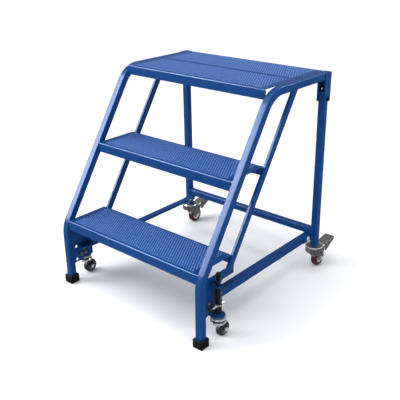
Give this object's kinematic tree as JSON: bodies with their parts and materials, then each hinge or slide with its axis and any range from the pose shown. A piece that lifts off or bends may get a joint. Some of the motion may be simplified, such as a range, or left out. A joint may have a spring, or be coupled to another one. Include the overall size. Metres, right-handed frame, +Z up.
{
  "type": "mobile mounting block",
  "caption": "Three-step steel mounting block with folded treads, bolted rear frame, rubber front feet, sprung front swivel casters and braked rear casters.",
  "frame": {"origin": "on the floor at the middle of the stand's footprint", "axes": "+Z up, the steps face -Y, +X is the right-hand side seen from the front"},
  "size_m": [0.7076, 0.8062, 0.762],
  "materials": {
    "blue_powder_coat": "glossy",
    "foot_rubber": "matte",
    "black_tyre": "satin",
    "maroon_tyre": "satin",
    "black_steel": "satin",
    "spring_steel": "satin",
    "caster_steel": "satin",
    "zinc_plate": "bright"
  },
  "bodies": {
    "frame": {"rail_left": "blue_powder_coat", "rail_right": "blue_powder_coat", "stringer_left": "blue_powder_coat", "stringer_right": "blue_powder_coat", "tread_bottom": "blue_powder_coat", "tread_middle": "blue_powder_coat", "platform_front": "blue_powder_coat", "platform_rear": "blue_powder_coat", "side_plate_left": "blue_powder_coat", "side_plate_right": "blue_powder_coat", "leg_bracket_left": "blue_powder_coat", "leg_bracket_right": "blue_powder_coat", "foot_left": "foot_rubber", "foot_right": "foot_rubber", "caster_bracket_left": "blue_powder_coat", "caster_bracket_right": "blue_powder_coat", "plate_bolts_left": "zinc_plate", "plate_bolts_right": "zinc_plate", "side_bar_left": "blue_powder_coat", "side_bar_right": "blue_powder_coat", "rear_leg_left": "blue_powder_coat", "rear_leg_right": "blue_powder_coat", "cross_bar": "blue_powder_coat", "rear_gusset_left": "blue_powder_coat", "rear_gusset_right": "blue_powder_coat", "gusset_bolt_left": "zinc_plate", "gusset_bolt_right": "zinc_plate", "leg_bolt_left": "black_steel", "leg_bolt_right": "black_steel", "rear_stem_left": "zinc_plate", "rear_stem_right": "zinc_plate"},
    "front_stem_left": {"caster_rod_left": "black_steel", "rod_pin_left": "zinc_plate", "spring_left": "spring_steel", "front_race_left": "zinc_plate"},
    "front_fork_left": {"front_fork_left": "caster_steel", "front_axle_left": "zinc_plate"},
    "front_wheel_left": {"front_tyre_left": "black_tyre", "front_hub_left": "caster_steel"},
    "rear_fork_left": {"rear_fork_left": "caster_steel", "rear_axle_left": "zinc_plate", "pedal_pin_left": "zinc_plate"},
    "rear_wheel_left": {"rear_tyre_left": "maroon_tyre", "rear_hub_left": "zinc_plate"},
    "brake_left": {"brake_pedal_left": "caster_steel"},
    "front_stem_right": {"caster_rod_right": "black_steel", "rod_pin_right": "zinc_plate", "spring_right": "spring_steel", "front_race_right": "zinc_plate"},
    "front_fork_right": {"front_fork_right": "caster_steel", "front_axle_right": "zinc_plate"},
    "front_wheel_right": {"front_tyre_right": "black_tyre", "front_hub_right": "caster_steel"},
    "rear_fork_right": {"rear_fork_right": "caster_steel", "rear_axle_right": "zinc_plate", "pedal_pin_right": "zinc_plate"},
    "rear_wheel_right": {"rear_tyre_right": "maroon_tyre", "rear_hub_right": "zinc_plate"},
    "brake_right": {"brake_pedal_right": "caster_steel"}
  },
  "joints": [
    {"name": "front_spring_left", "type": "slide", "parent": "frame", "child": "front_stem_left", "axis": [0, 0, 1], "range_m": [0, 0.005], "stiffness_N_per_m": 6000, "springref_m": -0.02, "deforming": ["spring_left"]},
    {"name": "front_swivel_left", "type": "hinge", "parent": "front_stem_left", "child": "front_fork_left", "pos_m": [-0.3278, -0.31056, 0.06], "axis": [0, 0, 1], "continuous": true},
    {"name": "front_roll_left", "type": "hinge", "parent": "front_fork_left", "child": "front_wheel_left", "pos_m": [-0.3278, -0.28856, 0.0254], "axis": [1, 0, 0], "continuous": true},
    {"name": "rear_swivel_left", "type": "hinge", "parent": "frame", "child": "rear_fork_left", "pos_m": [-0.3177, 0.28504, 0.08], "axis": [0, 0, 1], "continuous": true},
    {"name": "rear_roll_left", "type": "hinge", "parent": "rear_fork_left", "child": "rear_wheel_left", "pos_m": [-0.3177, 0.31504, 0.03175], "axis": [1, 0, 0], "continuous": true},
    {"name": "brake_press_left", "type": "hinge", "parent": "rear_fork_left", "child": "brake_left", "pos_m": [-0.3177, 0.32404, 0.0786], "axis": [-1, 0, 0], "range_deg": [0, 12]},
    {"name": "front_spring_right", "type": "slide", "parent": "frame", "child": "front_stem_right", "axis": [0, 0, 1], "range_m": [0, 0.005], "stiffness_N_per_m": 6000, "springref_m": -0.02, "deforming": ["spring_right"]},
    {"name": "front_swivel_right", "type": "hinge", "parent": "front_stem_right", "child": "front_fork_right", "pos_m": [0.3278, -0.31056, 0.06], "axis": [0, 0, 1], "continuous": true},
    {"name": "front_roll_right", "type": "hinge", "parent": "front_fork_right", "child": "front_wheel_right", "pos_m": [0.3278, -0.28856, 0.0254], "axis": [1, 0, 0], "continuous": true},
    {"name": "rear_swivel_right", "type": "hinge", "parent": "frame", "child": "rear_fork_right", "pos_m": [0.3177, 0.28504, 0.08], "axis": [0, 0, 1], "continuous": true},
    {"name": "rear_roll_right", "type": "hinge", "parent": "rear_fork_right", "child": "rear_wheel_right", "pos_m": [0.3177, 0.31504, 0.03175], "axis": [1, 0, 0], "continuous": true},
    {"name": "brake_press_right", "type": "hinge", "parent": "rear_fork_right", "child": "brake_right", "pos_m": [0.3177, 0.32404, 0.0786], "axis": [-1, 0, 0], "range_deg": [0, 12]}
  ]
}
